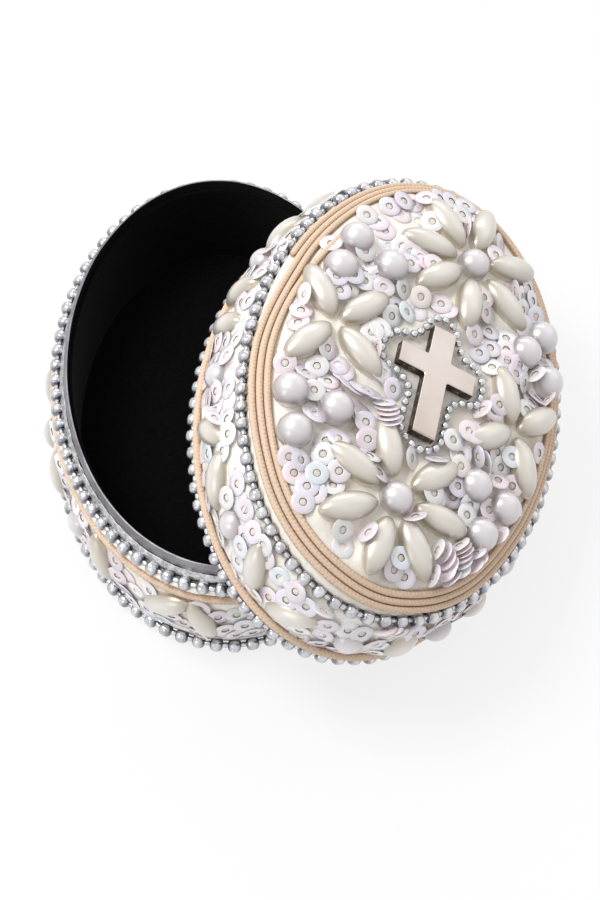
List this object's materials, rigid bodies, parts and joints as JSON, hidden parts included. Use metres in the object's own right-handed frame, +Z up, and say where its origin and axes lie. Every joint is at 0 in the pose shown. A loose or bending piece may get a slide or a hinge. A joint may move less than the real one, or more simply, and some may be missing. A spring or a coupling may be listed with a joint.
{
  "type": "trinket box",
  "caption": "Oval trinket box shown open: a lined base with a metal collar, and a loose lid with cords, pearls and a cross that leans on the base.",
  "frame": {"origin": "centre of the base's flat underside", "axes": "+Z up, +Y along the base's long axis, +X across it towards the leaning lid"},
  "size_m": [0.0935, 0.1077, 0.0516],
  "materials": {
    "tin": "plain satin",
    "collar_metal": "brushed grey silver",
    "velvet": "matte black velvet",
    "putty": "cream resin putty",
    "waxed_cord": "tan waxed cotton",
    "silver_beads": "polished silver",
    "cross_metal": "satin nickel with dark edges",
    "ivory_pearl": "warm ivory pearl lustre",
    "round_pearl": "cool white pearl lustre"
  },
  "bodies": {
    "base": {"base_foot_beads": "silver_beads", "base_lining_floor": "velvet", "base_lining_wall": "velvet", "base_rim_beads": "silver_beads", "base_rim_cord": "waxed_cord", "base_shell": "tin", "base_side_coat": "putty", "collar": "collar_metal"},
    "lid": {"cross": "cross_metal", "cross_border": "silver_beads", "flower_bottom_centre": "round_pearl", "flower_bottom_petal_1": "ivory_pearl", "flower_bottom_petal_2": "ivory_pearl", "flower_bottom_petal_3": "ivory_pearl", "flower_bottom_petal_4": "ivory_pearl", "flower_bottom_petal_5": "ivory_pearl", "flower_bottom_petal_6": "ivory_pearl", "flower_bottom_petal_7": "ivory_pearl", "flower_left_petal_1": "ivory_pearl", "flower_left_petal_2": "ivory_pearl", "flower_left_petal_3": "ivory_pearl", "flower_left_petal_4": "ivory_pearl", "flower_right_petal_1": "ivory_pearl", "flower_right_petal_2": "ivory_pearl", "flower_right_petal_3": "ivory_pearl", "flower_right_petal_4": "ivory_pearl", "flower_top_centre": "round_pearl", "flower_top_petal_1": "ivory_pearl", "flower_top_petal_2": "ivory_pearl", "flower_top_petal_3": "ivory_pearl", "flower_top_petal_4": "ivory_pearl", "flower_top_petal_5": "ivory_pearl", "flower_top_petal_6": "ivory_pearl", "flower_top_petal_7": "ivory_pearl", "lid_hem_beads": "silver_beads", "lid_hem_cord": "waxed_cord", "lid_lining": "velvet", "lid_shell": "tin", "lid_side_coat": "putty", "lid_top_beads": "silver_beads", "lid_top_coat": "putty", "lid_top_cord": "waxed_cord", "round_pearl_1": "round_pearl", "round_pearl_10": "round_pearl", "round_pearl_11": "round_pearl", "round_pearl_12": "round_pearl", "round_pearl_2": "round_pearl", "round_pearl_3": "round_pearl", "round_pearl_4": "round_pearl", "round_pearl_5": "round_pearl", "round_pearl_6": "round_pearl", "round_pearl_7": "round_pearl", "round_pearl_8": "round_pearl", "round_pearl_9": "round_pearl"}
  },
  "joints": [
    {"name": "lid_lift", "type": "slide", "parent": "base", "child": "lid", "axis": [0, 0, 1], "range_m": [0, 0.08]}
  ]
}
